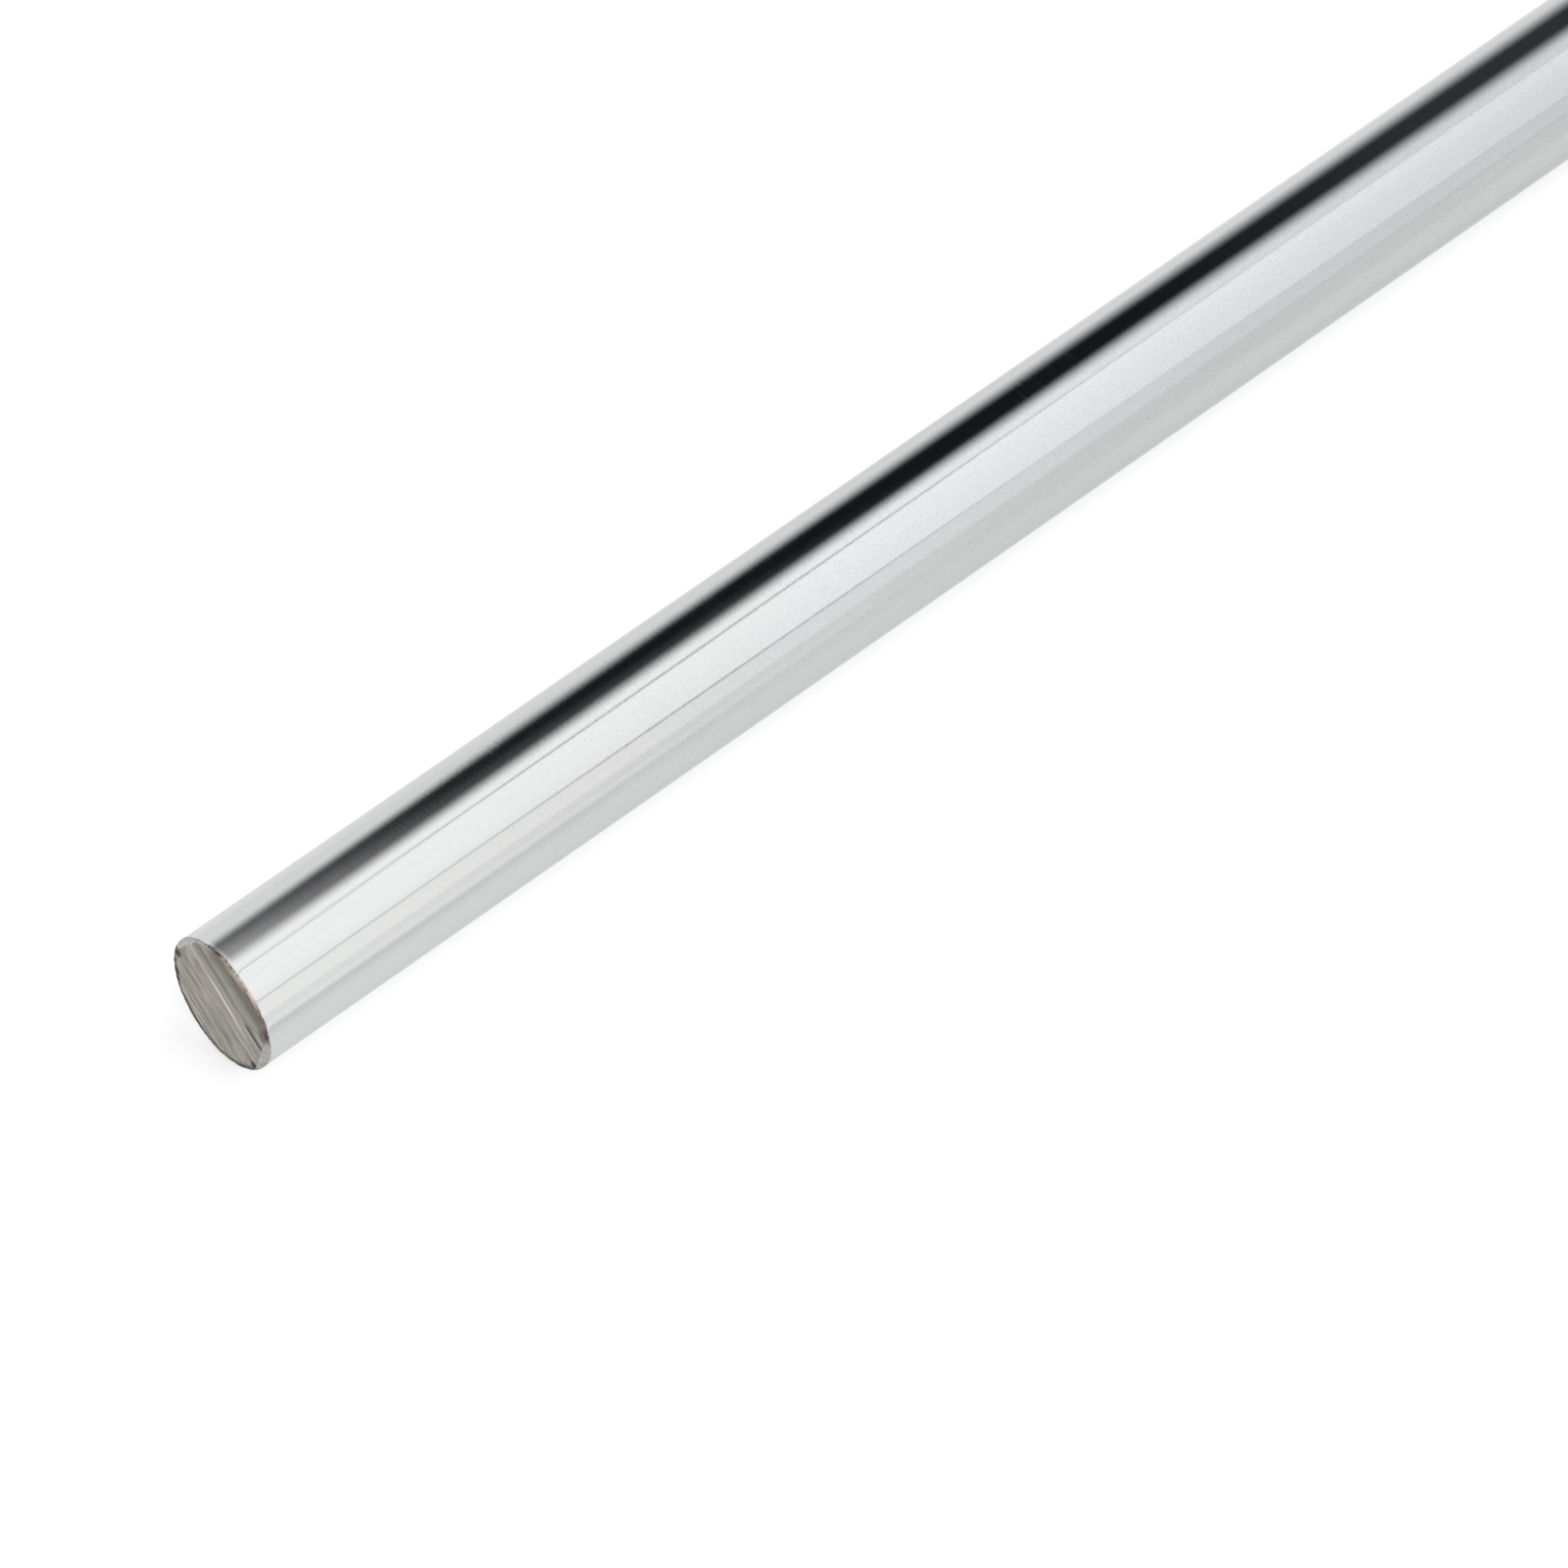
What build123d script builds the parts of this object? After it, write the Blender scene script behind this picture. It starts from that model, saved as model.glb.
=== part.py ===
"""Round bright steel bar: a straight length of ground and chromed round stock, lying on its side.

Millimetres. The bar runs along X and lies on the floor plane Z = 0. The origin is on the line
where it touches the floor, halfway along its length. Both ends are sawn square across and their
rims are broken with a small bevel, so the bar is one turned solid.
"""

from build123d import *
import os

# Driving dimensions
BAR_DIAMETER = 12.0  # ground and chromed outside diameter
BAR_LENGTH = 300.0  # over both sawn ends
BEVEL_WIDTH = 0.3  # how far the rim's bevel reaches in over the sawn face
BEVEL_DEPTH = 0.3  # how far the rim's bevel reaches along the bar

# Worked out from them
BAR_RADIUS = BAR_DIAMETER / 2
SAWN_FACE_RADIUS = BAR_RADIUS - BEVEL_WIDTH
HALF_LENGTH = BAR_LENGTH / 2
GROUND_HALF_LENGTH = HALF_LENGTH - BEVEL_DEPTH
BAR_AXIS = Axis((0, 0, BAR_RADIUS), (1, 0, 0))


def half_section():
    """Half of the bar's lengthwise section, from its axis up to the ground outside."""
    with BuildSketch(Plane.XZ) as section:
        with BuildLine():
            Polyline(
                (-HALF_LENGTH, BAR_RADIUS),
                (-HALF_LENGTH, BAR_RADIUS + SAWN_FACE_RADIUS),
                (-GROUND_HALF_LENGTH, BAR_DIAMETER),
                (GROUND_HALF_LENGTH, BAR_DIAMETER),
                (HALF_LENGTH, BAR_RADIUS + SAWN_FACE_RADIUS),
                (HALF_LENGTH, BAR_RADIUS),
                close=True,
            )
        make_face()
    return section.sketch


def round_bar():
    """The whole bar, turned about its own axis."""
    return revolve(half_section(), axis=BAR_AXIS)


os.makedirs("parts", exist_ok=True)
export_step(round_bar(), "parts/round_bar.step")
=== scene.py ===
"""A round bright steel bar, lying on a pale floor: a length of ground and hard chromed stock.

The bar is one turned solid. This script gives it its skin: the ground outside, the two sawn faces with
the grooves that the saw left in them, and the rims that a file has broken, each with its own finish.
Lengths are in metres, unless a name or a comment says millimetres.
"""

import math

import bpy
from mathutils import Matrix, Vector


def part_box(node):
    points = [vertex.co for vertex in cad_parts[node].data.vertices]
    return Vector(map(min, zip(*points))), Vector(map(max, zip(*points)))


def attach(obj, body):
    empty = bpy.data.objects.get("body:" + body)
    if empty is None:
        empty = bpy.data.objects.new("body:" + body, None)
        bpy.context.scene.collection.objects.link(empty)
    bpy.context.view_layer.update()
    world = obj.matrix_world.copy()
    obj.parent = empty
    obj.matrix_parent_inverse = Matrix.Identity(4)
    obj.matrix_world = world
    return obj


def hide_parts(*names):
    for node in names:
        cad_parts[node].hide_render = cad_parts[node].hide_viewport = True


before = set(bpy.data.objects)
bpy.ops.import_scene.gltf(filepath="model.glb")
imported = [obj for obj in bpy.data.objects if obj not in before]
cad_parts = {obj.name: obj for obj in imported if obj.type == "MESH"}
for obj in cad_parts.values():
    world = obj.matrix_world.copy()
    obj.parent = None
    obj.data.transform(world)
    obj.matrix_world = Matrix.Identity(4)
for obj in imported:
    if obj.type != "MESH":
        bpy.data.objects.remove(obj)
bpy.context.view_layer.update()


# ------------------------------------------------------------------------------------------------
# The bar: round steel, ground true on a centreless grinder, then hard chromed and polished. A bandsaw
# has cut both ends, a little off square. A file has taken the burr off each rim, with a few heavier
# strokes in two places, where the bare steel shows bright in a crescent.
# ------------------------------------------------------------------------------------------------

bar_low, bar_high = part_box("round_bar")
BAR_LENGTH = bar_high.x - bar_low.x
BAR_RADIUS = (bar_high.z - bar_low.z) / 2
AXIS_HEIGHT = (bar_high.z + bar_low.z) / 2

MM = 0.001
MICRON = 0.000001

GROOVE_DEPTH = 0.022 * MM  # of the deepest marks left by the saw
COLLAR = 1.5 * MM  # length of ground outside that is made in one with each end
RIM_BREAK = 0.28 * MM  # how far the file has cut the rim back, all the way round
RIM_ROUNDNESS = 1.5  # 2 is a flat bevel, 1 a full round
FILE_SLOPE = 0.35  # a heavy file stroke reaches this much as far along the bar as in over the face

# Where the file cut heavily: each place's turn round the end and half its span, in degrees, and how
# much wider the rim is at the middle of it.
FILED_PLACES = (
    (5.0, 22.0, 0.27 * MM),
    (163.0, 21.0, 0.43 * MM),
)

NEAR_SAW_TURN = 33.0  # degrees from level that the strokes of the saw lean, at each end
FAR_SAW_TURN = 113.0
OUT_OF_SQUARE = 0.046  # how far the saw has run off square, as a slope
NEAR_LOW_SIDE = -1.0  # degrees round from the strokes, to the side that is cut the shortest
FAR_LOW_SIDE = 65.0

NEAR_SEED = 1.0  # each end reads the patterns at a depth of its own, so that its marks differ
FAR_SEED = 2.0
SEED_SPACING = 10.0  # millimetres between those depths

STEPS_ROUND = 720  # how finely the mesh is divided, round the bar and on each part of it
STEPS_ON_STROKE = 24
STEPS_ON_RIM = 10
STEPS_ON_COLLAR = 3
STEPS_ALONG = 24
TOUCHING = 1.0 * MICRON  # points closer than this are one

GROUND, BROKEN, SAWN = 0, 1, 2  # what each face of the mesh is: chromed outside, filed rim, sawn face

# The skin is unrolled onto a square print, one unit wide. The outside keeps the lower half of it, and
# each end keeps a quarter.
PRINTED_ROUND = 0.49
PRINTED_END_RADIUS = 0.245
NEAR_END_PRINT = (0.25, 0.75, 0.0)
FAR_END_PRINT = (0.75, 0.75, 0.0)


def feed(tree, socket, source):
    """Gives a socket what another node makes, or a fixed value."""
    if isinstance(source, bpy.types.NodeSocket):
        tree.links.new(source, socket)
    else:
        socket.default_value = source


def add(tree, kind, fed=(), **settings):
    """Adds a node with these settings. fed says what goes into its sockets, by their names."""
    made = tree.nodes.new(kind)
    for name, value in settings.items():
        setattr(made, name, value)
    for name, source in dict(fed).items():
        feed(tree, made.inputs[name], source)
    return made


def calc(tree, operation, *numbers):
    """One step of arithmetic."""
    made = add(tree, "ShaderNodeMath", operation=operation)
    for socket, number in zip(made.inputs, numbers):
        feed(tree, socket, number)
    return made.outputs["Value"]


def total(tree, *numbers):
    """All of these numbers added up."""
    so_far = numbers[0]
    for number in numbers[1:]:
        so_far = calc(tree, "ADD", so_far, number)
    return so_far


def product(tree, *numbers):
    """All of these numbers multiplied."""
    so_far = numbers[0]
    for number in numbers[1:]:
        so_far = calc(tree, "MULTIPLY", so_far, number)
    return so_far


def rest(tree, share):
    """What a share leaves of the whole, which is 1."""
    return calc(tree, "SUBTRACT", 1.0, share)


def blend(tree, share, first, second):
    """Goes from first to second while share goes from 0 to 1."""
    return total(tree, product(tree, first, rest(tree, share)), product(tree, second, share))


def ease(tree, number, start, stop, first=0.0, last=1.0):
    """Goes smoothly from first to last while number goes from start to stop."""
    fed = {"Value": number, "From Min": start, "From Max": stop, "To Min": first, "To Max": last}
    return add(tree, "ShaderNodeMapRange", fed, interpolation_type="SMOOTHSTEP").outputs["Result"]


def hump(tree, number, middle, reach, height=1.0):
    """Rises smoothly to height where number is middle, and is nothing further off than reach."""
    off = calc(tree, "ABSOLUTE", calc(tree, "SUBTRACT", number, middle))
    return ease(tree, off, 0.0, reach, height, 0.0)


def split(tree, place):
    """The three numbers of a place or direction."""
    made = add(tree, "ShaderNodeSeparateXYZ", {"Vector": place})
    return made.outputs["X"], made.outputs["Y"], made.outputs["Z"]


def join(tree, x, y, z):
    """A place or direction from its three numbers."""
    return add(tree, "ShaderNodeCombineXYZ", {"X": x, "Y": y, "Z": z}).outputs["Vector"]


def steer(tree, operation, first, second=None):
    """One step of reckoning with places or directions."""
    made = add(tree, "ShaderNodeVectorMath", operation=operation)
    feed(tree, made.inputs[0], first)
    if second is not None:
        feed(tree, made.inputs["Scale"] if operation == "SCALE" else made.inputs[1], second)
    return made.outputs["Value"] if operation in ("LENGTH", "DOT_PRODUCT") else made.outputs["Vector"]


def grain(tree, place, stretch, detail=2.0):
    """An irregular pattern from 0 to 1. stretch is how many spots of it come to a unit each way."""
    fed = {"Vector": steer(tree, "MULTIPLY", place, stretch), "Scale": 1.0, "Detail": detail}
    return add(tree, "ShaderNodeTexNoise", fed).outputs["Fac"]


# Finishes of the bar. Their patterns are in millimetres, measured from the bar's axis.


def bare_metal(name):
    """A metal with nothing on it yet: its material, node tree and shader."""
    material = bpy.data.materials.new(name)
    material.use_nodes = True
    tree = material.node_tree
    tree.nodes.clear()
    shader = add(tree, "ShaderNodeBsdfPrincipled", {"Metallic": 1.0})
    add(tree, "ShaderNodeOutputMaterial", {"Surface": shader.outputs["BSDF"]})
    return material, tree, shader


def tint(tree, amount, under, over):
    """Lays one colour over another, by an amount from 0 to 1."""
    made = add(tree, "ShaderNodeMix", data_type="RGBA")
    sockets = {socket.identifier: socket for socket in made.inputs}
    feed(tree, sockets["Factor_Float"], amount)
    feed(tree, sockets["A_Color"], under)
    feed(tree, sockets["B_Color"], over)
    return next(socket for socket in made.outputs if socket.identifier == "Result_Color")


def roughen(tree, shader, height, unit):
    """Raises the surface by height times unit metres."""
    fed = {"Height": height, "Distance": unit, "Strength": 1.0}
    feed(tree, shader.inputs["Normal"], add(tree, "ShaderNodeBump", fed).outputs["Normal"])


def bar_place(tree):
    """Where a point of the bar is, in millimetres from the middle of its axis."""
    fed = {
        "Vector": add(tree, "ShaderNodeTexCoord").outputs["Object"],
        "Scale": (1 / MM, 1 / MM, 1 / MM),
        "Location": (0.0, 0.0, -AXIS_HEIGHT / MM),
    }
    return add(tree, "ShaderNodeMapping", fed).outputs["Vector"]


def own_number(tree, name):
    """A number that the bar's mesh carries at each point."""
    return add(tree, "ShaderNodeAttribute", attribute_name=name).outputs["Fac"]


def own_place(tree, name):
    """Three numbers that the bar's mesh carries at each point."""
    return add(tree, "ShaderNodeAttribute", attribute_name=name).outputs["Vector"]


def ground_chrome():
    """Hard chrome over the ground steel: nearly a mirror, finely pitted, with patches of grinding strokes."""
    chrome = (0.609, 0.615, 0.615, 1.0)
    paler_chrome = (0.639, 0.641, 0.645, 1.0)
    cloudy_chrome = (0.605, 0.625, 0.607, 1.0)
    stroked_chrome = (0.70, 0.70, 0.71, 1.0)
    pitted_chrome = (0.40, 0.40, 0.41, 1.0)
    glancing_chrome = (0.80, 0.80, 0.80, 1.0)

    material, tree, shader = bare_metal("ground_chrome")
    place = bar_place(tree)
    x, _, _ = split(tree, place)

    # The pitting fades over this stretch, towards the near end, which was polished last.
    fading = (bar_low.x / MM + 10.0, bar_low.x / MM + 38.0)
    waviness = grain(tree, place, (0.06, 0.6, 0.6), 1.0)
    pits = grain(tree, place, (3.6, 3.6, 3.6), 2.0)
    pitting = product(tree, pits, ease(tree, x, *fading, 0.25, 1.5))
    strokes = grain(tree, place, (11.0, 0.30, 0.30), 1.0)
    where_ground = ease(tree, grain(tree, place, (0.09, 0.30, 0.30), 2.0), 0.58, 0.70)
    cut = product(tree, ease(tree, strokes, 0.5, 0.75), where_ground)
    height = total(tree, product(tree, waviness, 5.0), pitting, product(tree, cut, 0.25))  # microns
    roughen(tree, shader, height, MICRON)

    roughness = total(tree, 0.05, product(tree, cut, 0.06), product(tree, pitting, 0.02))
    feed(tree, shader.inputs["Roughness"], roughness)

    drawn = grain(tree, place, (0.006, 0.55, 0.55), 2.0)
    cloudy = grain(tree, place, (0.03, 0.12, 0.12), 2.0)
    colour = tint(tree, ease(tree, drawn, 0.35, 0.65), chrome, paler_chrome)
    colour = tint(tree, ease(tree, cloudy, 0.4, 0.75, 0.0, 0.3), colour, cloudy_chrome)
    colour = tint(tree, product(tree, cut, 0.35), colour, stroked_chrome)
    sandy = grain(tree, place, (4.5, 4.5, 4.5), 2.0)
    speckled = product(tree, ease(tree, sandy, 0.45, 0.75), ease(tree, x, *fading, 0.05, 0.24))
    colour = tint(tree, speckled, colour, pitted_chrome)
    feed(tree, shader.inputs["Base Color"], colour)
    feed(tree, shader.inputs["Specular Tint"], glancing_chrome)
    return material


def round_the_end(tree, along, across):
    """How far round the end a point is, in degrees from the strokes of the saw, and how far from the axis."""
    turn = calc(tree, "DEGREES", calc(tree, "ARCTAN2", across, along))
    return turn, steer(tree, "LENGTH", join(tree, along, across, 0.0))


def blot(tree, along, across, middle, reach):
    """1 in the middle of a spot on the end, and 0 past its reach along and across the strokes."""
    off_along = calc(tree, "DIVIDE", calc(tree, "SUBTRACT", along, middle[0]), reach[0])
    off_across = calc(tree, "DIVIDE", calc(tree, "SUBTRACT", across, middle[1]), reach[1])
    off = steer(tree, "LENGTH", join(tree, off_along, off_across, 0.0))
    return ease(tree, off, 1.0, 0.45)


def struck(tree, colour, along, across, near_end):
    """The steel is paler just above its middle, and duller above that. The near end has one bright stroke
    in the pale part, and two dark scratches above it."""
    pale_band = (0.44, 0.41, 0.37, 1.0)
    dull_band = (0.160, 0.153, 0.135, 1.0)
    bright_stroke = (0.80, 0.78, 0.73, 1.0)
    dark_scratch = (0.034, 0.030, 0.027, 1.0)

    paler_part = ease(tree, calc(tree, "ABSOLUTE", along), 5.0, 2.0)
    paler = product(tree, hump(tree, across, 0.65, 1.5), paler_part, 0.45)
    colour = tint(tree, paler, colour, pale_band)
    duller = product(tree, ease(tree, across, 1.85, 2.5), ease(tree, along, -1.0, 1.0, 0.26, 0.38))
    colour = tint(tree, duller, colour, dull_band)
    slanting = total(tree, across, product(tree, along, -0.06))
    off_middle = calc(tree, "ABSOLUTE", calc(tree, "ADD", along, 0.2))
    middle_part = ease(tree, off_middle, 3.4, 1.0, 0.0, 0.9)
    bright = product(tree, hump(tree, slanting, 1.08, 0.19), middle_part, near_end)
    colour = tint(tree, bright, colour, bright_stroke)
    scratch_ends = product(tree, ease(tree, along, -2.0, -2.9), ease(tree, along, -5.1, -4.5))
    scratch = product(tree, hump(tree, across, 2.20, 0.34), scratch_ends)
    fellow = product(tree, hump(tree, across, 2.60, 0.22), hump(tree, along, -2.6, 1.6), 0.6)
    scratched = product(tree, calc(tree, "MAXIMUM", scratch, fellow), near_end)
    return tint(tree, scratched, colour, dark_scratch)


def heated(tree, colour, along, across, turn, from_edge, blotchy):
    """Stained brown along the top of the cut, tanned at its edge, with a cool patch and a dark stripe
    beside the stain."""
    cool_patch = (0.205, 0.220, 0.198, 1.0)
    stripe = (0.115, 0.105, 0.085, 1.0)
    brown_stain = (0.128, 0.114, 0.091, 1.0)
    tan = (0.40, 0.345, 0.290, 1.0)

    cool = product(tree, hump(tree, across, 3.65, 1.1), hump(tree, along, -1.3, 2.4), 0.75)
    colour = tint(tree, cool, colour, cool_patch)
    dark_stripe = product(tree, hump(tree, across, 3.72, 0.55), ease(tree, along, 0.0, 1.2), 0.55)
    colour = tint(tree, dark_stripe, colour, stripe)
    ends = product(tree, ease(tree, along, 5.4, 4.2), ease(tree, along, -4.8, -3.6))
    top_edge = ease(tree, across, 3.85, 4.55)
    stained = product(tree, ends, top_edge, ease(tree, blotchy, 0.25, 0.6, 0.70, 0.97))
    colour = tint(tree, stained, colour, brown_stain)
    tanned = product(tree, hump(tree, turn, 79.0, 22.0), ease(tree, from_edge, 0.62, 0.25), 0.9)
    return tint(tree, tanned, colour, tan)


def patched(tree, colour, along, across, near_end):
    """Patches and single strokes of the near end that are paler or duller than the rest."""
    pale_metal = (0.42, 0.40, 0.36, 1.0)
    dull_metal = (0.205, 0.20, 0.175, 1.0)
    dark_metal = (0.12, 0.112, 0.093, 1.0)

    # The middle of each, how far it reaches along and across, how strong it is, and its colour.
    for middle, reach, amount, metal in (
        ((-3.9, -1.7), (1.3, 1.4), 0.50, pale_metal),
        ((4.8, 0.75), (1.0, 0.8), 0.60, pale_metal),
        ((-2.7, 1.05), (1.9, 0.9), 0.35, pale_metal),
        ((4.3, -1.75), (1.3, 0.85), 0.75, dull_metal),
        ((4.5, 1.95), (1.1, 0.6), 0.55, dull_metal),
        ((3.3, 4.8), (1.1, 1.1), 0.60, dark_metal),
        ((-4.2, 3.95), (1.1, 1.1), 0.90, dark_metal),
        ((-3.9, 1.65), (1.9, 0.42), 0.45, pale_metal),
        ((-4.0, 2.9), (1.0, 0.32), 0.40, pale_metal),
        ((-2.4, -1.3), (1.6, 0.50), 0.48, pale_metal),
        ((4.3, 3.35), (0.9, 0.6), 0.32, pale_metal),
        ((4.3, -0.15), (0.9, 0.4), 0.45, pale_metal),
        ((2.9, -2.0), (1.9, 0.42), 0.50, dark_metal),
        ((2.6, 1.65), (1.9, 0.6), 0.22, dark_metal),
        ((0.3, 0.57), (2.4, 0.28), 0.22, dark_metal),
        ((-0.6, 2.25), (1.1, 0.32), 0.30, dark_metal),
        ((0.2, -3.75), (1.8, 0.32), 0.30, dark_metal),
        ((2.7, 4.2), (1.2, 0.32), 0.35, dark_metal),
        ((0.6, -2.1), (1.6, 0.35), 0.20, dark_metal),
        ((2.6, -1.45), (1.3, 0.30), 0.25, dark_metal),
        ((1.8, 3.6), (1.8, 0.45), 0.15, pale_metal),
    ):
        patch = product(tree, blot(tree, along, across, middle, reach), amount, near_end)
        colour = tint(tree, patch, colour, metal)
    return colour


def tan_specks_and_painted_edge_shade(tree, colour, along, across, turn, from_edge, blotchy, near_end):
    """Painted shade along the underside of the edge: a thin broken dark line, with tan specks inside it.
    The near end has a few dark spots of painted shade near its edge."""
    tan_speck = (0.50, 0.41, 0.30, 1.0)
    # The dark line and the dark spots are painted shade, for the underside of the edge.
    painted_shade_colour = (0.035, 0.030, 0.026, 1.0)
    painted_spot_shade = (0.024, 0.014, 0.014, 1.0)

    under = product(tree, ease(tree, turn, -16.0, -30.0), ease(tree, turn, -179.0, -165.0))
    inside_line = hump(tree, from_edge, 0.60, 0.32)
    tan_specks = product(tree, under, inside_line, ease(tree, blotchy, 0.46, 0.62, 0.0, 0.6))
    colour = tint(tree, tan_specks, colour, tan_speck)
    # Painted shade: a thin broken dark line where the underside of the edge turns away from the light.
    from_line = calc(tree, "SUBTRACT", from_edge, hump(tree, turn, -80.0, 38.0, 0.20))
    on_line = ease(tree, from_line, 0.40, 0.12)
    painted_shade_line = product(tree, under, on_line, ease(tree, blotchy, 0.66, 0.44, 0.55, 1.0))
    colour = tint(tree, painted_shade_line, colour, painted_shade_colour)
    # Painted shade, gathered into a few dark spots along the edge of the near end.
    spots = (
        ((5.36, -1.60), (0.66, 0.66)),
        ((4.25, -3.70), (0.60, 0.50)),
        ((3.65, -4.25), (0.36, 0.36)),
        ((-5.42, -0.60), (0.50, 0.50)),
    )
    spots_of_painted_shade = total(tree, *(blot(tree, along, across, middle, reach) for middle, reach in spots))
    return tint(tree, product(tree, spots_of_painted_shade, 0.97, near_end), colour, painted_spot_shade)


def sawn_steel():
    """Bare steel as the saw left it: grey, with pale and dark strokes, stained by heat and oil in places."""
    dark_steel = (0.150, 0.139, 0.120, 1.0)
    light_steel = (0.405, 0.380, 0.340, 1.0)

    material, tree, shader = bare_metal("sawn_steel")
    place = own_place(tree, "end_place")
    along, across, depth = split(tree, place)
    turn, from_axis = round_the_end(tree, along, across)
    rim_inside = calc(tree, "SUBTRACT", BAR_RADIUS / MM, own_number(tree, "rim_width"))
    from_edge = calc(tree, "SUBTRACT", rim_inside, from_axis)

    broad = grain(tree, place, (0.06, 0.8, 9.0), 2.0)
    narrow = grain(tree, place, (0.12, 3.0, 9.0), 2.0)
    fine = grain(tree, place, (0.5, 9.0, 9.0), 1.0)
    blotchy = grain(tree, place, (1.6, 2.6, 9.0), 2.0)
    tone = total(tree, product(tree, broad, 0.34), product(tree, narrow, 0.38), product(tree, fine, 0.28))
    colour = tint(tree, ease(tree, tone, 0.37, 0.63), dark_steel, light_steel)

    between_seeds = (NEAR_SEED + FAR_SEED) / 2 * SEED_SPACING
    near_end = calc(tree, "LESS_THAN", depth, between_seeds)
    colour = struck(tree, colour, along, across, near_end)
    colour = heated(tree, colour, along, across, turn, from_edge, blotchy)
    colour = patched(tree, colour, along, across, near_end)
    # Tan specks, and painted shade along the underside of the edge.
    colour = tan_specks_and_painted_edge_shade(tree, colour, along, across, turn, from_edge, blotchy, near_end)
    feed(tree, shader.inputs["Base Color"], colour)

    feed(tree, shader.inputs["Roughness"], ease(tree, tone, 0.3, 0.7, 0.52, 0.40))
    roughen(tree, shader, total(tree, narrow, product(tree, fine, 0.5)), 3 * MICRON)
    return material


def broken_rim():
    """The rim where the file has cut it: bright in the crescents, tanned by heat at the top with a painted
    highlight along its outer edge, and painted shade below.
    """
    grey_rim, pale_rim = (0.30, 0.28, 0.26, 1.0), (0.42, 0.40, 0.38, 1.0)
    dark_brown, light_brown = (0.145, 0.112, 0.092, 1.0), (0.255, 0.205, 0.175, 1.0)
    # The peach is a painted highlight on the heat-tanned rim.
    peach_highlight = (0.70, 0.575, 0.490, 1.0)
    dark_corner = (0.075, 0.060, 0.052, 1.0)
    grey_cut, bright_cut = (0.31, 0.295, 0.285, 1.0), (0.47, 0.46, 0.45, 1.0)
    # The darkest colour is painted shade, for the underside of the rim.
    painted_rim_shade = (0.031, 0.025, 0.023, 1.0)

    material, tree, shader = bare_metal("broken_rim")
    place = own_place(tree, "end_place")
    along, across, _ = split(tree, place)
    turn, from_axis = round_the_end(tree, along, across)
    from_outside = calc(tree, "SUBTRACT", BAR_RADIUS / MM, from_axis)
    outer = ease(tree, from_outside, 0.30, 0.13)
    heavy = ease(tree, from_outside, 0.27, 0.42)

    mottled = grain(tree, place, (1.8, 1.8, 1.8), 3.0)
    stroked = grain(tree, place, (0.4, 4.0, 4.0), 2.0)
    colour = tint(tree, ease(tree, mottled, 0.35, 0.65), grey_rim, pale_rim)

    # The heat of the saw has tanned the top, and left a dark corner at each end of the tan. The paler peach
    # along the outer edge of the tan is a painted highlight.
    top = product(tree, ease(tree, turn, 46.0, 60.0), ease(tree, turn, 148.0, 136.0))
    brown = tint(tree, ease(tree, mottled, 0.35, 0.65), dark_brown, light_brown)
    paler_part = ease(tree, turn, 116.0, 94.0)
    # Painted highlight: peach along the outer edge of the brown heat tint.
    paler = product(tree, outer, paler_part, ease(tree, mottled, 0.3, 0.6, 0.5, 1.0))
    colour = tint(tree, top, colour, tint(tree, paler, brown, peach_highlight))
    corner = total(tree, hump(tree, turn, 52.5, 11.0, 0.82), hump(tree, turn, 133.0, 11.0, 0.8))
    colour = tint(tree, corner, colour, dark_corner)

    cut_metal = tint(tree, ease(tree, stroked, 0.35, 0.6), grey_cut, bright_cut)
    colour = tint(tree, heavy, colour, cut_metal)
    # Painted shade: a broken dark line along the underside of the rim, which turns away from the light.
    under = product(tree, ease(tree, turn, -8.0, -17.0), ease(tree, turn, -179.5, -168.0))
    broken = product(tree, under, ease(tree, mottled, 0.62, 0.45, 0.75, 0.98))
    colour = tint(tree, broken, colour, painted_rim_shade)
    feed(tree, shader.inputs["Base Color"], colour)

    feed(tree, shader.inputs["Roughness"], ease(tree, mottled, 0.3, 0.7, 0.30, 0.45))
    roughen(tree, shader, total(tree, mottled, product(tree, stroked, 0.6)), 6 * MICRON)
    return material


# Shape of the bar, made by two trees of geometry nodes: one for an end, and one for the whole.


def geometry_tree(name, sockets):
    """An empty tree of geometry nodes: the tree, the sockets that its sizes come in by, and its output."""
    tree = bpy.data.node_groups.new(name, "GeometryNodeTree")
    for socket_name, kind in sockets.items():
        tree.interface.new_socket(socket_name, in_out="INPUT", socket_type=kind)
    tree.interface.new_socket("Shape", in_out="OUTPUT", socket_type="NodeSocketGeometry")
    given = tree.nodes.new("NodeGroupInput").outputs
    return tree, given, tree.nodes.new("NodeGroupOutput")


def keep(tree, shape, name, kind, domain, value):
    """Has the mesh carry a value under a name."""
    fed = {"Geometry": shape, "Name": name}
    made = add(tree, "GeometryNodeStoreNamedAttribute", fed, data_type=kind, domain=domain)
    feed(tree, made.inputs["Value"], value)
    return made.outputs["Geometry"]


def moved(tree, shape, **fed):
    """Moves a shape's points to a Position or by an Offset, all of them or those in a Selection."""
    fed = {"Geometry": shape, **fed}
    return add(tree, "GeometryNodeSetPosition", fed).outputs["Geometry"]


def welded(tree, shape):
    """Closes the seams of a shape: points that touch become one, along open edges only."""
    sides = add(tree, "GeometryNodeInputMeshEdgeNeighbors").outputs["Face Count"]
    fed = {"Value": calc(tree, "LESS_THAN", sides, 1.5)}  # an open edge has a face on one side only
    is_open = add(tree, "GeometryNodeFieldOnDomain", fed, data_type="BOOLEAN", domain="EDGE").outputs["Value"]
    fed = {"Geometry": shape, "Selection": is_open, "Distance": TOUCHING}
    return add(tree, "GeometryNodeMergeByDistance", fed).outputs["Geometry"]


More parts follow.
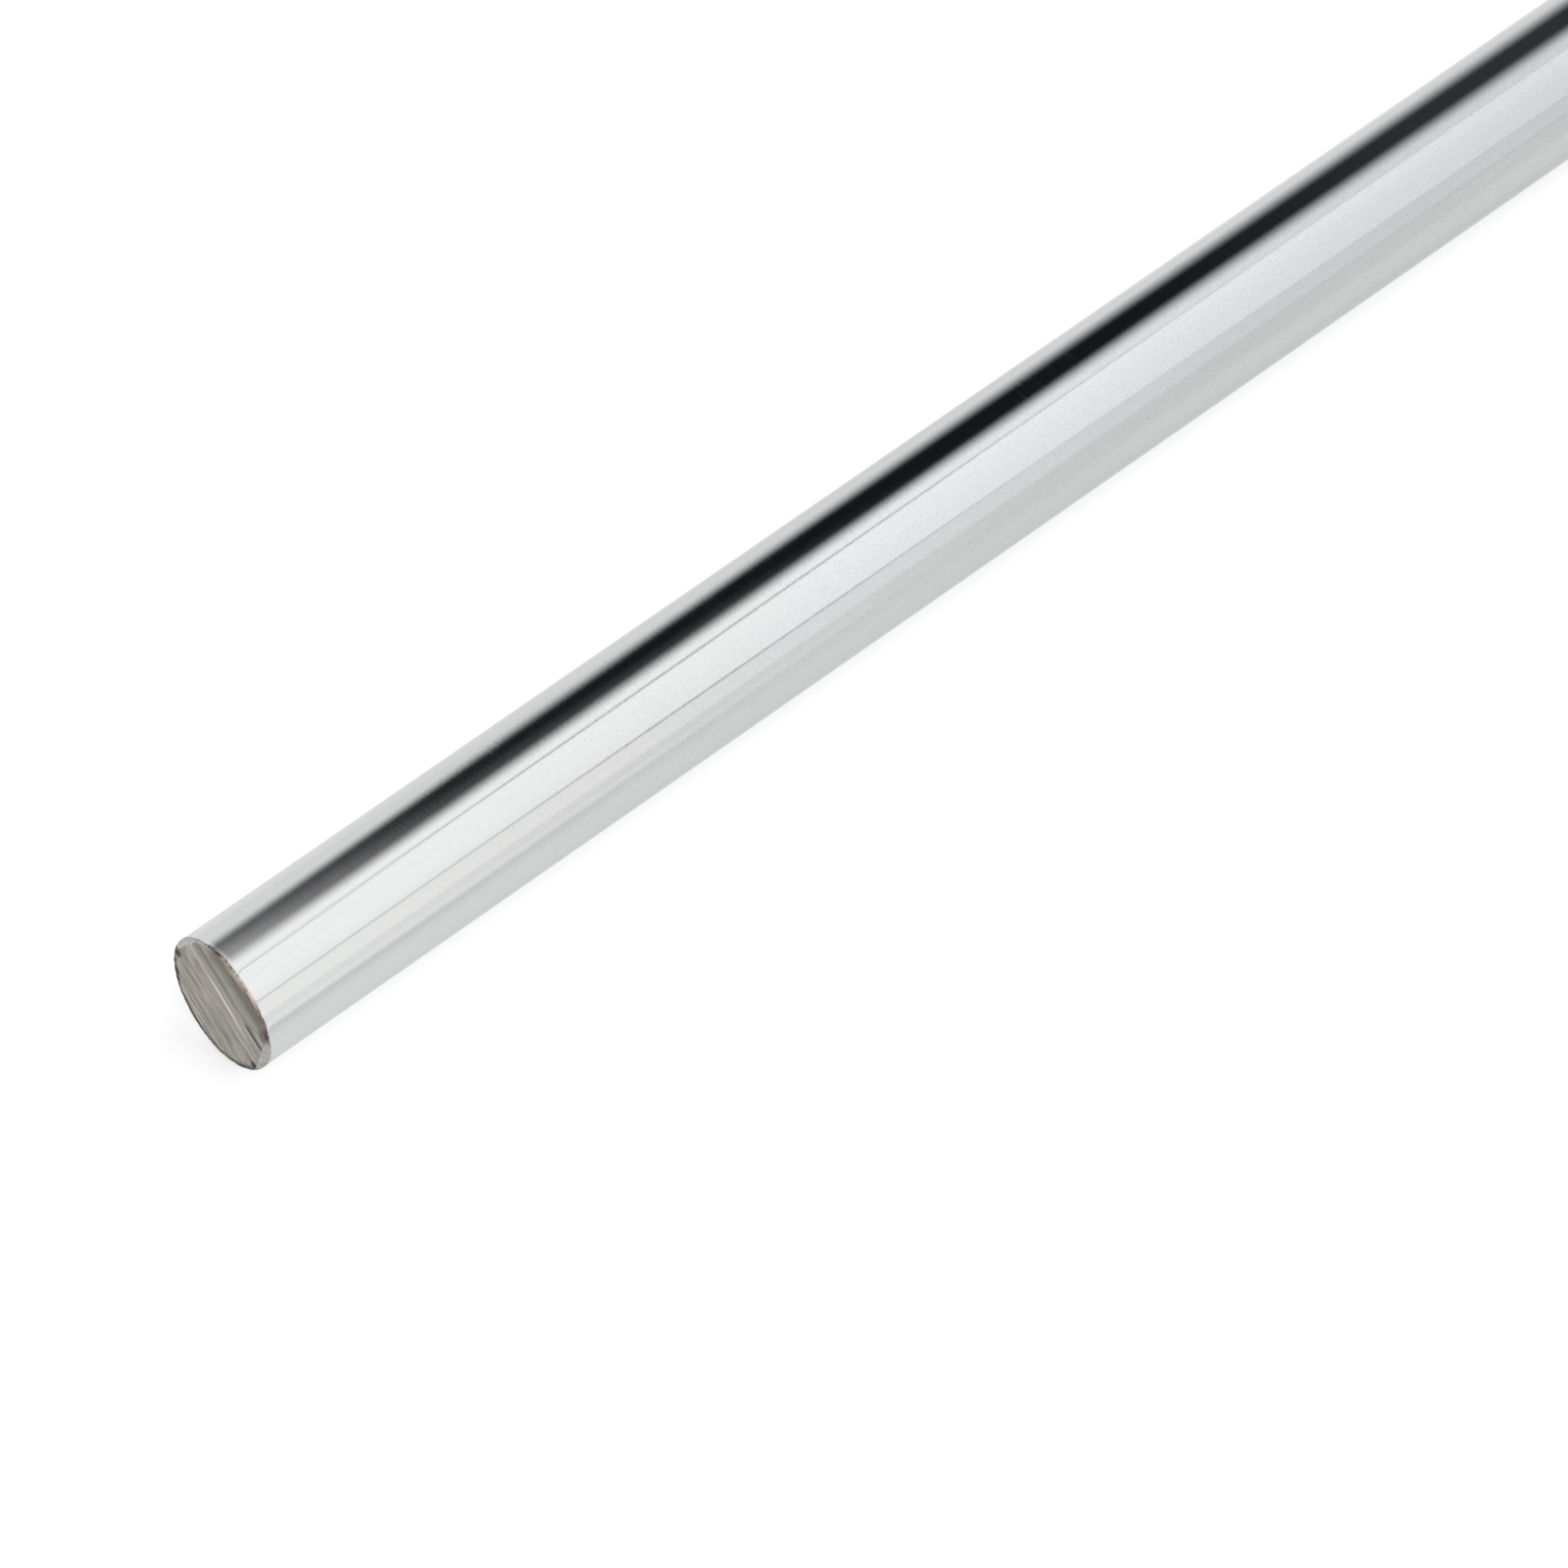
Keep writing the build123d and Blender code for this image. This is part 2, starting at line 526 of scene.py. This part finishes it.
def filing(tree, given, outwards):
    """How far the file has cut over the face and along the bar, in each direction outwards from the axis."""
    waver = ease(tree, grain(tree, outwards, (11.0, 11.0, 0.0), 3.0), 0.2, 0.8, 0.7, 1.3)
    ragged = product(tree, given["Rim Break"], waver)
    heavy = 0.0
    for turn, half_span, width in FILED_PLACES:
        middle = (math.cos(math.radians(turn)), math.sin(math.radians(turn)), 0.0)
        facing = steer(tree, "DOT_PRODUCT", outwards, middle)
        heavy = total(tree, ease(tree, facing, math.cos(math.radians(half_span)), 1.0, 0.0, width), heavy)
    return total(tree, ragged, heavy), total(tree, ragged, product(tree, heavy, FILE_SLOPE))


def ruled_face(tree, given, x, y):
    """The sawn face, ruled with chords along the strokes of the saw, closer together than its grooves."""
    chords, points = STEPS_ROUND // 2 + 1, STEPS_ON_STROKE + 1
    grid = {"Size X": 1.0, "Size Y": 1.0, "Vertices X": chords, "Vertices Y": points}
    face = add(tree, "GeometryNodeMeshGrid", grid).outputs["Mesh"]
    face = keep(tree, face, "bar_part", "INT", "FACE", SAWN)
    lean = product(tree, x, math.pi)
    chord = join(tree, product(tree, y, 2.0, calc(tree, "COSINE", lean)), calc(tree, "SINE", lean), 0.0)
    outwards = steer(tree, "NORMALIZE", chord)
    share = steer(tree, "LENGTH", chord)
    over_face, _ = filing(tree, given, outwards)

    # The ragged edge of the rim pulls in only the outer part of the chords.
    even = product(tree, share, calc(tree, "SUBTRACT", given["Bar Radius"], given["Rim Break"]))
    ragged = calc(tree, "SUBTRACT", over_face, given["Rim Break"])
    uneven = product(tree, calc(tree, "POWER", share, 4.0), ragged)
    reach = steer(tree, "SCALE", outwards, calc(tree, "SUBTRACT", even, uneven))
    return moved(tree, face, Position=reach)


def rim_and_collar(tree, given, x, y, z):
    """The broken rim and the collar: one ring of rows, from the edge of the face to the ground outside."""
    rim_rows, collar_rows = float(STEPS_ON_RIM), float(STEPS_ON_COLLAR)
    rows = STEPS_ON_RIM + STEPS_ON_COLLAR
    hoop = {"Vertices": STEPS_ROUND, "Side Segments": rows, "Radius": 1.0, "Depth": 1.0}
    ring = add(tree, "GeometryNodeMeshCylinder", hoop, fill_type="NONE").outputs["Mesh"]
    row = product(tree, calc(tree, "ADD", z, 0.5), float(rows))
    ring = keep(tree, ring, "bar_part", "INT", "FACE", calc(tree, "LESS_THAN", row, rim_rows))
    outwards = steer(tree, "NORMALIZE", join(tree, x, y, 0.0))
    over_face, along_bar = filing(tree, given, outwards)

    rim_share = calc(tree, "MINIMUM", calc(tree, "DIVIDE", row, rim_rows), 1.0)
    round_rim = product(tree, rim_share, math.pi / 2)
    rise = calc(tree, "POWER", calc(tree, "SINE", round_rim), RIM_ROUNDNESS)
    fall = calc(tree, "POWER", calc(tree, "MAXIMUM", calc(tree, "COSINE", round_rim), 0.0), RIM_ROUNDNESS)
    radius = calc(tree, "SUBTRACT", given["Bar Radius"], product(tree, over_face, rest(tree, rise)))
    past_rim = calc(tree, "MAXIMUM", calc(tree, "SUBTRACT", row, rim_rows), 0.0)
    collar_step = calc(tree, "DIVIDE", calc(tree, "SUBTRACT", given["Collar"], along_bar), collar_rows)
    on_rim = product(tree, along_bar, rest(tree, fall))
    deep = total(tree, on_rim, product(tree, past_rim, collar_step))
    shell = steer(tree, "ADD", steer(tree, "SCALE", outwards, radius), join(tree, 0.0, 0.0, deep))
    return moved(tree, ring, Position=shell)


def sawn_end_tree():
    """One end of the bar, facing down its own Z, with the strokes of the saw along its own X."""
    sizes = {
        "Bar Radius": "NodeSocketFloat",
        "Rim Break": "NodeSocketFloat",
        "Groove Depth": "NodeSocketFloat",
        "Collar": "NodeSocketFloat",
        "Out Of Square": "NodeSocketVector",
        "Seed": "NodeSocketFloat",
        "Print Middle": "NodeSocketVector",
        "Print Scale": "NodeSocketFloat",
    }
    tree, given, output = geometry_tree("sawn_end", sizes)
    position = add(tree, "GeometryNodeInputPosition").outputs["Position"]
    x, y, z = split(tree, position)
    face = ruled_face(tree, given, x, y)
    ring = rim_and_collar(tree, given, x, y, z)
    both = add(tree, "GeometryNodeJoinGeometry")
    tree.links.new(ring, both.inputs["Geometry"])
    tree.links.new(face, both.inputs["Geometry"])
    end = welded(tree, both.outputs["Geometry"])

    # What the finish needs to know, in millimetres: the place on the end, and the rim's width there.
    in_mm = steer(tree, "SCALE", position, 1 / MM)
    seed_depth = product(tree, given["Seed"], SEED_SPACING)
    seeded = steer(tree, "ADD", in_mm, join(tree, 0.0, 0.0, seed_depth))
    outwards = steer(tree, "NORMALIZE", join(tree, x, y, 0.0))
    over_face, _ = filing(tree, given, outwards)
    end = keep(tree, end, "end_place", "FLOAT_VECTOR", "POINT", seeded)
    end = keep(tree, end, "rim_width", "FLOAT", "POINT", product(tree, over_face, 1 / MM))

    # The print has the face flat in the middle, and the rim and the collar as rings round it.
    spread = steer(tree, "SCALE", outwards, total(tree, steer(tree, "LENGTH", join(tree, x, y, 0.0)), z))
    printed = steer(tree, "ADD", steer(tree, "SCALE", spread, given["Print Scale"]), given["Print Middle"])
    end = keep(tree, end, "OFBake", "FLOAT2", "CORNER", printed)

    # The grooves are cut in, and never stand out past the face.
    coarse = grain(tree, seeded, (0.03, 2.2, 1.0), 1.0)
    close = grain(tree, seeded, (0.08, 6.5, 1.0), 1.0)
    cut = ease(tree, total(tree, product(tree, coarse, 0.6), product(tree, close, 0.4)), 0.3, 0.7)
    sink = join(tree, 0.0, 0.0, product(tree, cut, given["Groove Depth"]))
    on_face = calc(tree, "LESS_THAN", z, TOUCHING)
    end = moved(tree, end, Selection=on_face, Offset=sink)

    # The saw has run a little off square. The highest side still comes to the full length of the bar,
    # and the slant dies out along the collar.
    slope = given["Out Of Square"]
    highest = product(tree, given["Bar Radius"], steer(tree, "LENGTH", slope))
    short_by = calc(tree, "ADD", steer(tree, "DOT_PRODUCT", position, slope), highest)
    slant_left = calc(tree, "MAXIMUM", rest(tree, calc(tree, "DIVIDE", z, given["Collar"])), 0.0)
    end = moved(tree, end, Offset=join(tree, 0.0, 0.0, product(tree, short_by, slant_left)))
    feed(tree, output.inputs["Shape"], end)
    return tree


def bar_tree(end_tree, finishes):
    """The whole bar: two sawn ends, and the ground outside between them."""
    sizes = {
        "Bar Length": "NodeSocketFloat",
        "Bar Radius": "NodeSocketFloat",
        "Axis Height": "NodeSocketFloat",
        "Rim Break": "NodeSocketFloat",
        "Groove Depth": "NodeSocketFloat",
        "Collar": "NodeSocketFloat",
    }
    tree, given, output = geometry_tree("chromed_bar", sizes)
    whole = add(tree, "GeometryNodeJoinGeometry")
    half = product(tree, given["Bar Length"], 0.5)

    def placed(shape, turn, rotation, along):
        """Turns a shape about its own Z, and then lays it along the bar."""
        fed = {"Geometry": shape, "Rotation": (0.0, 0.0, math.radians(turn))}
        turned = add(tree, "GeometryNodeTransform", fed).outputs["Geometry"]
        middle = join(tree, along, 0.0, given["Axis Height"])
        fed = {"Geometry": turned, "Rotation": rotation, "Translation": middle}
        tree.links.new(add(tree, "GeometryNodeTransform", fed).outputs["Geometry"], whole.inputs["Geometry"])

    end_reach = calc(tree, "ADD", given["Bar Radius"], given["Collar"])
    print_scale = calc(tree, "DIVIDE", PRINTED_END_RADIUS, end_reach)
    for side, seed, turn, low_side, print_middle in (
        (-1, NEAR_SEED, NEAR_SAW_TURN, NEAR_LOW_SIDE, NEAR_END_PRINT),
        (1, FAR_SEED, FAR_SAW_TURN, FAR_LOW_SIDE, FAR_END_PRINT),
    ):
        low = math.radians(low_side)
        fed = {"Seed": seed, "Print Middle": print_middle, "Print Scale": print_scale}
        fed["Out Of Square"] = (OUT_OF_SQUARE * math.cos(low), OUT_OF_SQUARE * math.sin(low), 0.0)
        for name in ("Bar Radius", "Rim Break", "Groove Depth", "Collar"):
            fed[name] = given[name]
        end = add(tree, "GeometryNodeGroup", node_tree=end_tree)
        for name, source in fed.items():
            feed(tree, end.inputs[name], source)
        facing = (math.pi / 2, 0.0, -side * math.pi / 2)
        placed(end.outputs["Shape"], turn, facing, product(tree, half, float(side)))

    between = calc(tree, "SUBTRACT", given["Bar Length"], product(tree, given["Collar"], 2.0))
    tube = {"Vertices": STEPS_ROUND, "Side Segments": STEPS_ALONG, "Radius": given["Bar Radius"]}
    outside = add(tree, "GeometryNodeMeshCylinder", {**tube, "Depth": between}, fill_type="NONE")
    round_it, along_it, _ = split(tree, outside.outputs["UV Map"])
    unrolled = join(tree, along_it, product(tree, round_it, PRINTED_ROUND), 0.0)
    shape = keep(tree, outside.outputs["Mesh"], "OFBake", "FLOAT2", "CORNER", unrolled)
    placed(shape, 0.0, (math.pi / 2, 0.0, math.pi / 2), 0.0)

    shape = welded(tree, whole.outputs["Geometry"])
    shape = add(tree, "GeometryNodeSetShadeSmooth", {"Geometry": shape}).outputs["Geometry"]
    shape = add(tree, "GeometryNodeRealizeInstances", {"Geometry": shape}).outputs["Geometry"]
    named = add(tree, "GeometryNodeInputNamedAttribute", {"Name": "bar_part"}, data_type="INT")
    part = named.outputs["Attribute"]
    for number, finish in finishes.items():
        chosen = True if number == GROUND else calc(tree, "COMPARE", part, float(number), 0.5)
        fed = {"Geometry": shape, "Selection": chosen, "Material": finish}
        shape = add(tree, "GeometryNodeSetMaterial", fed).outputs["Geometry"]
    feed(tree, output.inputs["Shape"], shape)
    return tree


def grown(name, tree, sizes):
    """A plain mesh object, made by a tree of geometry nodes with these sizes."""
    made = bpy.data.objects.new(name, bpy.data.meshes.new(name))
    bpy.context.scene.collection.objects.link(made)
    modifier = made.modifiers.new(name, "NODES")
    modifier.node_group = tree
    sockets = {item.name: item.identifier for item in tree.interface.items_tree if item.in_out == "INPUT"}
    for size_name, value in sizes.items():
        modifier[sockets[size_name]] = value
    depsgraph = bpy.context.evaluated_depsgraph_get()
    mesh = bpy.data.meshes.new_from_object(
        made.evaluated_get(depsgraph), preserve_all_data_layers=True, depsgraph=depsgraph
    )
    for slot in reversed(range(len(mesh.materials))):
        if mesh.materials[slot] is None:
            mesh.materials.pop(index=slot)
    made.modifiers.clear()
    made.data = mesh
    mesh.name = name
    return made


finishes = {GROUND: ground_chrome(), BROKEN: broken_rim(), SAWN: sawn_steel()}
bar_sizes = {
    "Bar Length": BAR_LENGTH,
    "Bar Radius": BAR_RADIUS,
    "Axis Height": AXIS_HEIGHT,
    "Rim Break": RIM_BREAK,
    "Groove Depth": GROOVE_DEPTH,
    "Collar": COLLAR,
}
bar = grown("chromed_bar", bar_tree(sawn_end_tree(), finishes), bar_sizes)
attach(bar, "root")
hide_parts("round_bar")


# ------------------------------------------------------------------------------------------------
# The floor: a plain white board. It keeps the soft shadow under the bar. The polished metal sees it
# without that shadow, a little brighter or duller from place to place.
# ------------------------------------------------------------------------------------------------

FLOOR_REACH = 2.0
FLOOR_WHITE = (0.75, 0.75, 0.75, 1.0)
FLOOR_LIFT = 0.45  # light of its own that it gives the camera, so that it comes out white
FLOOR_IN_METAL = (0.992, 1.0, 0.995, 1.0)


def floor_seen_by_metal(tree):
    """How bright polished metal sees each place of the floor."""
    x, y, _ = split(tree, add(tree, "ShaderNodeTexCoord").outputs["Object"])
    towards_far_end = total(tree, x, product(tree, y, 0.5))

    # Brightest well out in front of the near end, with a dull line nearer the bar.
    close_by = ease(tree, towards_far_end, -0.150, -0.030, 1.05, 0.955)
    well_out = ease(tree, towards_far_end, -0.162, -0.040, 1.23, 0.91)
    duller_end = ease(tree, towards_far_end, -0.115, -0.085, 0.085, 0.0)
    duller = product(tree, ease(tree, y, -0.030, -0.100), duller_end)
    well_out = product(tree, well_out, rest(tree, duller))
    out_in_front = ease(tree, y, -0.020, -0.050)
    level = blend(tree, out_in_front, close_by, well_out)
    line_depth = ease(tree, towards_far_end, -0.145, -0.075, 0.16, 0.05)
    dull_line = product(tree, hump(tree, y, -0.0255, 0.012), line_depth)
    level = product(tree, level, rest(tree, dull_line))

    # Brighter behind the bar, most of all just behind its far half, and duller again far behind that.
    level = total(tree, level, ease(tree, y, 0.0, 0.008, 0.0, 0.13))
    far_behind = product(tree, ease(tree, y, 0.040, 0.120), ease(tree, x, 0.020, 0.070, 0.0, 0.13))
    just_behind = product(tree, hump(tree, y, 0.022, 0.014), ease(tree, x, -0.060, -0.030, 0.0, 0.07))
    return product(tree, level, total(tree, 1.0, just_behind, product(tree, far_behind, -1.0)))


def white_floor():
    """Matt white. The camera sees it lit up to white, and polished metal sees it without shadows."""
    material = bpy.data.materials.new("white_floor")
    material.use_nodes = True
    material.cycles.emission_sampling = "NONE"
    tree = material.node_tree
    tree.nodes.clear()
    path = add(tree, "ShaderNodeLightPath").outputs
    matt = add(tree, "ShaderNodeBsdfDiffuse", {"Color": FLOOR_WHITE}).outputs["BSDF"]
    lift_strength = product(tree, path["Is Camera Ray"], FLOOR_LIFT)
    lift = add(tree, "ShaderNodeEmission", {"Strength": lift_strength}).outputs["Emission"]
    seen = add(tree, "ShaderNodeAddShader")
    tree.links.new(matt, seen.inputs[0])
    tree.links.new(lift, seen.inputs[1])

    fed = {"Color": FLOOR_IN_METAL, "Strength": floor_seen_by_metal(tree)}
    in_metal = add(tree, "ShaderNodeEmission", fed).outputs["Emission"]
    mirrored = calc(tree, "MAXIMUM", path["Is Glossy Ray"], path["Is Transmission Ray"])
    made = add(tree, "ShaderNodeMixShader", {"Fac": mirrored})
    tree.links.new(seen.outputs["Shader"], made.inputs[1])
    tree.links.new(in_metal, made.inputs[2])
    add(tree, "ShaderNodeOutputMaterial", {"Surface": made.outputs["Shader"]})
    return material


floor_mesh = bpy.data.meshes.new("floor")
corners = [(x * FLOOR_REACH, y * FLOOR_REACH, 0.0) for x, y in ((-1, -1), (1, -1), (1, 1), (-1, 1))]
floor_mesh.from_pydata(corners, [], [(0, 1, 2, 3)])
floor_mesh.materials.append(white_floor())
floor = bpy.data.objects.new("floor", floor_mesh)
bpy.context.scene.collection.objects.link(floor)


# ------------------------------------------------------------------------------------------------
# The light: a white studio with a long softbox in front of and above the bar, and a dark strip behind
# it, between that softbox and the back wall. All of them run along the bar.
# ------------------------------------------------------------------------------------------------

WHITE = (1.0, 1.0, 1.0, 1.0)
WARMER_WHITE = (0.997, 1.0, 0.978, 1.0)
COOLER_WHITE = (0.992, 1.0, 1.03, 1.0)
STRIP_BLUE = (0.90, 1.0, 1.34, 1.0)
STRIP_LEVEL = 0.011
BACK_WALL_LEVEL = 1.04

# A direction's height is in degrees round the bar: 0 is level in front, 90 is overhead and 180 is level
# behind. Its endways is 0 square to the bar, and 1 along it.


def wall_and_softbox(tree, height, endways):
    """The front wall below the softbox, the softbox, and the ceiling behind it, each fading towards the
    ends. Gives their brightness, and how far a direction is past the foot of the softbox, from 0 to 1."""
    wall_foot = ease(tree, endways, 0.440, 0.460, 0.93, 0.965)
    wall_rise = ease(tree, height, -2.0, 10.0, wall_foot, 1.12)
    wall = product(tree, wall_rise, ease(tree, endways, 0.39, 0.505, 1.15, 0.84))
    box_rise = ease(tree, height, 31.0, 93.0, 1.27, 1.37)
    box = product(tree, box_rise, ease(tree, endways, 0.43, 0.53, 1.03, 0.815))
    ceiling = ease(tree, endways, 0.44, 0.50, 1.35, 1.0)

    # The edges of the softbox don't run quite straight, and are softer towards the ends.
    box_bottom = total(
        tree,
        ease(tree, endways, 0.395, 0.415, 29.1, 31.2),
        ease(tree, endways, 0.419, 0.427, 0.0, -1.2),
        ease(tree, endways, 0.450, 0.475, 0.0, -2.0),
    )
    box_top = total(tree, ease(tree, endways, 0.38, 0.46, 81.5, 91.3), hump(tree, endways, 0.413, 0.014, 2.2))
    softness = ease(tree, endways, 0.445, 0.475, 1.0, 4.0)

    def past(edge):
        """How far a direction is past an edge of the softbox, from 0 to 1."""
        return ease(tree, calc(tree, "SUBTRACT", height, edge), product(tree, softness, -1.0), softness)

    in_box = past(box_bottom)
    past_box = past(box_top)
    front = total(
        tree,
        product(tree, wall, rest(tree, in_box)),
        product(tree, box, calc(tree, "SUBTRACT", in_box, past_box)),
        product(tree, ceiling, past_box),
    )

    # Its frame is a thin dull line along each edge.
    bottom_depth = total(
        tree,
        ease(tree, endways, 0.419, 0.431, 0.30, 0.56),
        ease(tree, endways, 0.433, 0.462, 0.0, -0.45),
    )
    top_depth = total(
        tree,
        ease(tree, endways, 0.395, 0.440, 0.32, 0.66),
        ease(tree, endways, 0.432, 0.482, 0.0, -0.52),
    )
    frames = total(
        tree,
        product(tree, hump(tree, calc(tree, "SUBTRACT", height, box_bottom), 0.0, 2.6), bottom_depth),
        product(tree, hump(tree, calc(tree, "SUBTRACT", height, box_top), 0.0, 2.6), top_depth),
    )
    return product(tree, front, rest(tree, frames)), in_box


def dark_strip(tree, height, endways):
    """The dark strip: how much of it there is in a direction, and how much light falls on it there. It
    reaches further back towards the ends of the studio. Light spills onto it from the front, most of
    all near the middle."""
    strip_front = ease(tree, endways, 0.39, 0.465, 91.0, 98.5)
    front_width = ease(tree, endways, 0.404, 0.420, 24.0, 26.0)
    front_width = total(tree, front_width, ease(tree, endways, 0.450, 0.480, 0.0, 4.0))
    strip_back = total(
        tree,
        ease(tree, endways, 0.366, 0.468, 153.0, 187.2),
        ease(tree, endways, 0.462, 0.480, 0.0, 3.5),
        hump(tree, endways, 0.4225, 0.0105, 6.0),
    )
    strip_top = total(
        tree,
        ease(tree, endways, 0.385, 0.445, 136.0, 151.0),
        hump(tree, endways, 0.409, 0.012, 2.3),
        ease(tree, endways, 0.462, 0.480, 0.0, -2.0),
        hump(tree, endways, 0.426, 0.008, -2.8),
    )
    front_edge = ease(tree, height, strip_front, calc(tree, "ADD", strip_front, front_width))
    back_edge = ease(tree, height, strip_back, strip_top)
    strip = product(tree, front_edge, back_edge)
    spill = product(
        tree,
        ease(tree, endways, 0.388, 0.418, 0.27, 0.0),
        ease(tree, height, 145.0, 108.0, 0.9, 2.5),
        rest(tree, hump(tree, endways, 0.4015, 0.010, 0.22)),
    )
    haze = ease(tree, endways, 0.474, 0.50, 0.0, 0.036)
    along_its_front = product(
        tree,
        ease(tree, height, 138.0, 118.0, 0.0, 0.04),
        ease(tree, endways, 0.400, 0.420),
        ease(tree, endways, 0.455, 0.435),
    )
    return strip, total(tree, spill, haze, along_its_front)


def studio():
    """The light from each side, which polished metal mirrors. The camera itself sees plain white."""
    world = bpy.data.worlds.new("studio")
    world.use_nodes = True
    tree = world.node_tree
    tree.nodes.clear()
    x, y, z = split(tree, add(tree, "ShaderNodeTexCoord").outputs["Generated"])
    height = calc(tree, "DEGREES", calc(tree, "ARCTAN2", z, product(tree, y, -1.0)))
    endways = calc(tree, "ABSOLUTE", x)
    front, in_box = wall_and_softbox(tree, height, endways)
    bright = blend(tree, ease(tree, height, 120.0, 150.0), front, BACK_WALL_LEVEL)
    strip, light_on_strip = dark_strip(tree, height, endways)

    deep = {"Color": STRIP_BLUE, "Strength": product(tree, strip, STRIP_LEVEL)}
    level = blend(tree, strip, bright, light_on_strip)
    warmer = product(tree, ease(tree, endways, 0.44, 0.41), rest(tree, in_box))
    colour = tint(tree, warmer, WHITE, WARMER_WHITE)
    colour = tint(tree, ease(tree, endways, 0.43, 0.46), colour, COOLER_WHITE)
    main = add(tree, "ShaderNodeBackground", {"Color": colour, "Strength": level})
    studio_light = add(tree, "ShaderNodeAddShader")
    tree.links.new(main.outputs["Background"], studio_light.inputs[0])
    tree.links.new(add(tree, "ShaderNodeBackground", deep).outputs["Background"], studio_light.inputs[1])
    white = add(tree, "ShaderNodeBackground", {"Color": WHITE, "Strength": 1.0})
    to_camera = add(tree, "ShaderNodeLightPath").outputs["Is Camera Ray"]
    made = add(tree, "ShaderNodeMixShader", {"Fac": to_camera})
    tree.links.new(studio_light.outputs["Shader"], made.inputs[1])
    tree.links.new(white.outputs["Background"], made.inputs[2])
    add(tree, "ShaderNodeOutputWorld", {"Surface": made.outputs["Shader"]})
    return world


bpy.context.scene.world = studio()
bpy.context.scene.view_settings.view_transform = "Standard"


# ------------------------------------------------------------------------------------------------
# The camera: a long lens, a metre off, looking down across the near end of the bar.
# ------------------------------------------------------------------------------------------------

CAMERA_AZIMUTH = math.radians(-42.444)
CAMERA_HEIGHT_ANGLE = math.radians(49.874)
CAMERA_DISTANCE = 1.0513
CAMERA_LENS = 301.86  # this and the film's width are in millimetres
FILM_WIDTH = 36.0
NEAREST_SEEN = 0.01
FARTHEST_SEEN = 50.0
AIM_FROM_NEAR_END = 48.485 * MM
AIM_IN_FRONT_OF_AXIS = 13.19 * MM

aim = Vector((bar_low.x + AIM_FROM_NEAR_END, -AIM_IN_FRONT_OF_AXIS, AXIS_HEIGHT))
towards_camera = Vector(
    (
        math.sin(CAMERA_AZIMUTH) * math.cos(CAMERA_HEIGHT_ANGLE),
        -math.cos(CAMERA_AZIMUTH) * math.cos(CAMERA_HEIGHT_ANGLE),
        math.sin(CAMERA_HEIGHT_ANGLE),
    )
)
camera_data = bpy.data.cameras.new("camera")
camera_data.sensor_width = FILM_WIDTH
camera_data.lens = CAMERA_LENS
camera_data.clip_start = NEAREST_SEEN
camera_data.clip_end = FARTHEST_SEEN
camera = bpy.data.objects.new("camera", camera_data)
camera.location = aim + towards_camera * CAMERA_DISTANCE
camera.rotation_mode = "QUATERNION"
camera.rotation_quaternion = (-towards_camera).to_track_quat("-Z", "Y")
bpy.context.scene.collection.objects.link(camera)
bpy.context.scene.camera = camera
